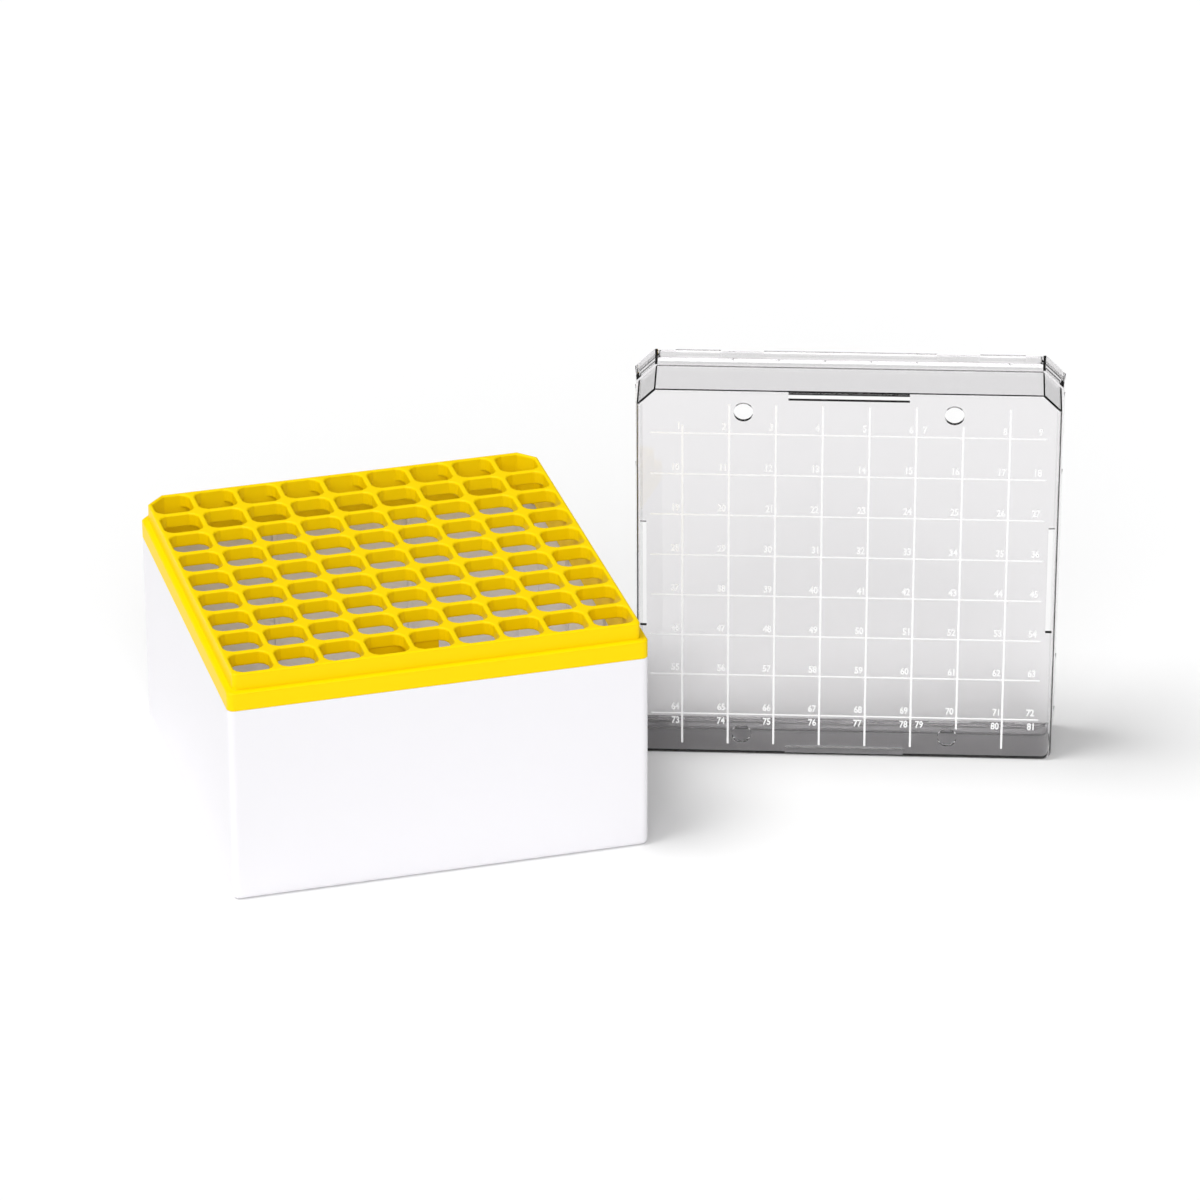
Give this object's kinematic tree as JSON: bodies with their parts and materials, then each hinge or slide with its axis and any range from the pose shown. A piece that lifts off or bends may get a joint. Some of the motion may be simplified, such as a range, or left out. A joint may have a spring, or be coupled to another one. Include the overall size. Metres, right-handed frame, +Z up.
{
  "type": "cryogenic storage box",
  "caption": "Square freezer box for upright tubes: white base, yellow divider grid with a raised deck, and a clear lid with a printed grid, off and stood beside it.",
  "frame": {"origin": "centre of the box's underside, on the surface it stands on", "axes": "+Z up, +X to the right along the box's front, +Y to the back, where the two corners are cut"},
  "size_m": [0.2767, 0.131, 0.1331],
  "materials": {
    "white_plastic": "satin moulded plastic",
    "yellow_plastic": "satin moulded plastic",
    "clear_plastic": "clear polished plastic",
    "white_ink": "screen print"
  },
  "bodies": {
    "root": {"base_box": "white_plastic", "divider": "yellow_plastic", "lid": "clear_plastic", "lid_grid_print": "white_ink"}
  },
  "joints": []
}
